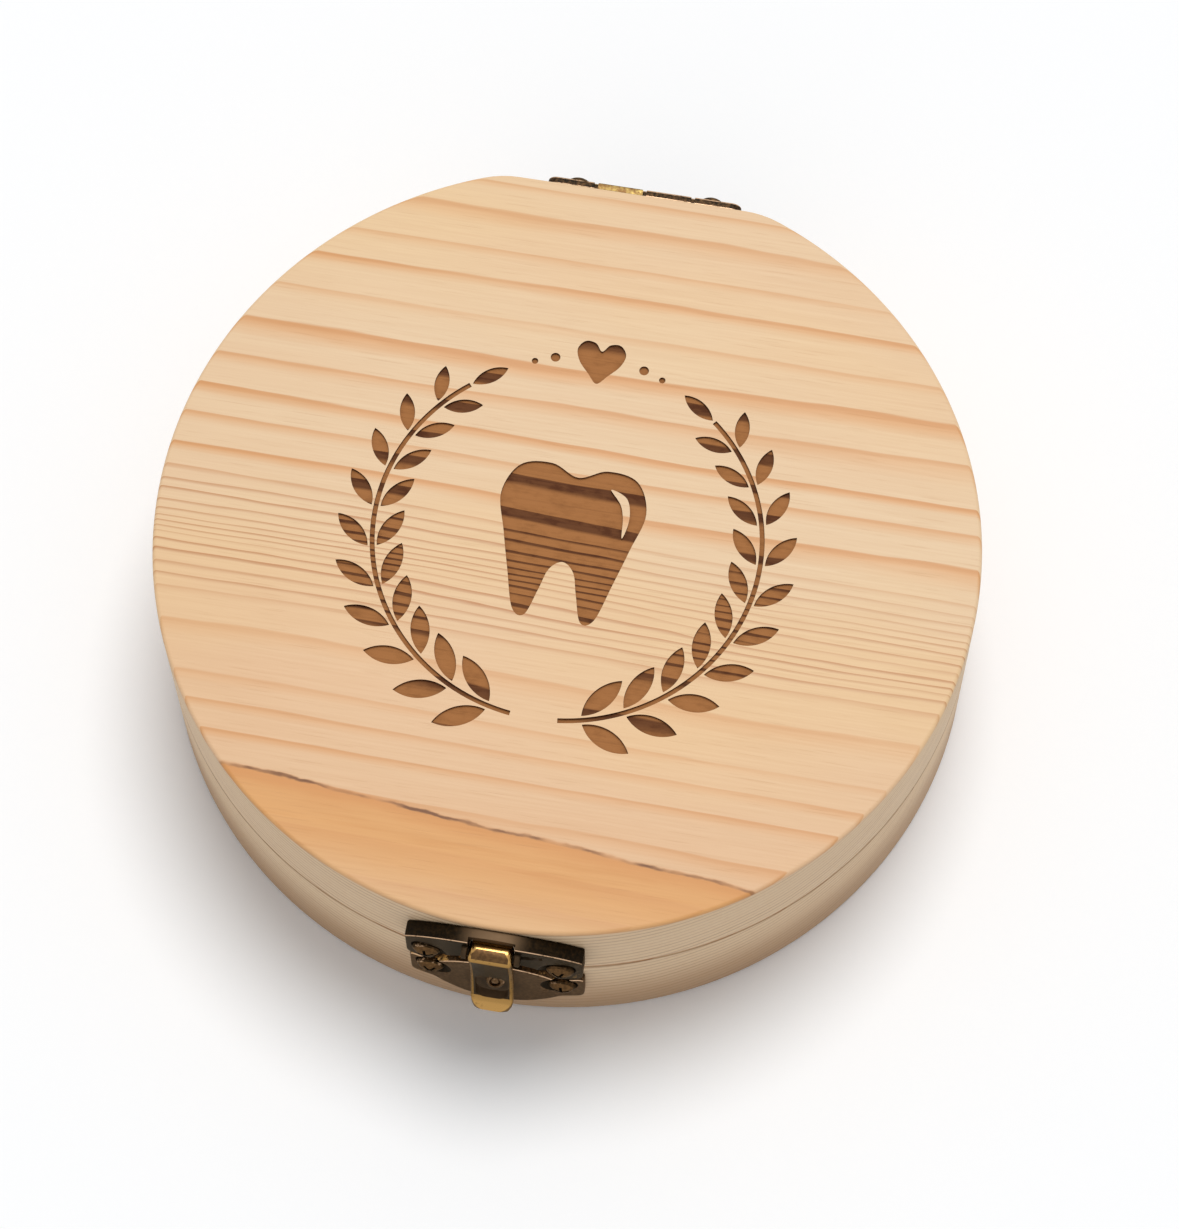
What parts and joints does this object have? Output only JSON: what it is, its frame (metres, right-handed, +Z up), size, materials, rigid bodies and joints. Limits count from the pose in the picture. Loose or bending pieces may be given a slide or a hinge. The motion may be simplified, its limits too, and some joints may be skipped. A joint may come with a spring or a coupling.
{
  "type": "tooth box",
  "caption": "Round wooden keepsake box for milk teeth, with a hinged lid, a swing clasp and a socketed tooth tray inside.",
  "frame": {"origin": "centre of the round outline on the underside of the base", "axes": "+Z up, -Y towards the clasp at the front, +Y towards the hinge at the back, +X to the right seen from the front"},
  "size_m": [0.1, 0.1059, 0.03],
  "materials": {
    "pine": "sanded, waxed",
    "tray_wood": "sanded",
    "antique_brass": "dark antique patina, worn edges",
    "screw_brass": "dark antique patina"
  },
  "bodies": {
    "base": {"base_cup": "pine", "tooth_tray": "tray_wood", "hinge_base_leaf": "antique_brass", "hinge_pin": "screw_brass", "catch_plate": "antique_brass", "hinge_base_screw_left": "screw_brass", "hinge_base_screw_right": "screw_brass", "clasp_base_screw_left": "screw_brass", "clasp_base_screw_right": "screw_brass"},
    "lid": {"lid": "pine", "hinge_lid_leaf": "antique_brass", "clasp_plate": "antique_brass", "clasp_pin": "screw_brass", "hinge_lid_screw_left": "screw_brass", "hinge_lid_screw_right": "screw_brass", "clasp_lid_screw_left": "screw_brass", "clasp_lid_screw_right": "screw_brass"},
    "hasp": {"clasp_hasp": "antique_brass"}
  },
  "joints": [
    {"name": "lid_hinge", "type": "hinge", "parent": "base", "child": "lid", "pos_m": [0.0015, 0.04935, 0.017], "axis": [-1, 0, 0], "range_deg": [0, 170]},
    {"name": "hasp_swing", "type": "hinge", "parent": "lid", "child": "hasp", "pos_m": [0, -0.0521, 0.0267], "axis": [-1, 0, 0], "range_deg": [0, 125]}
  ]
}
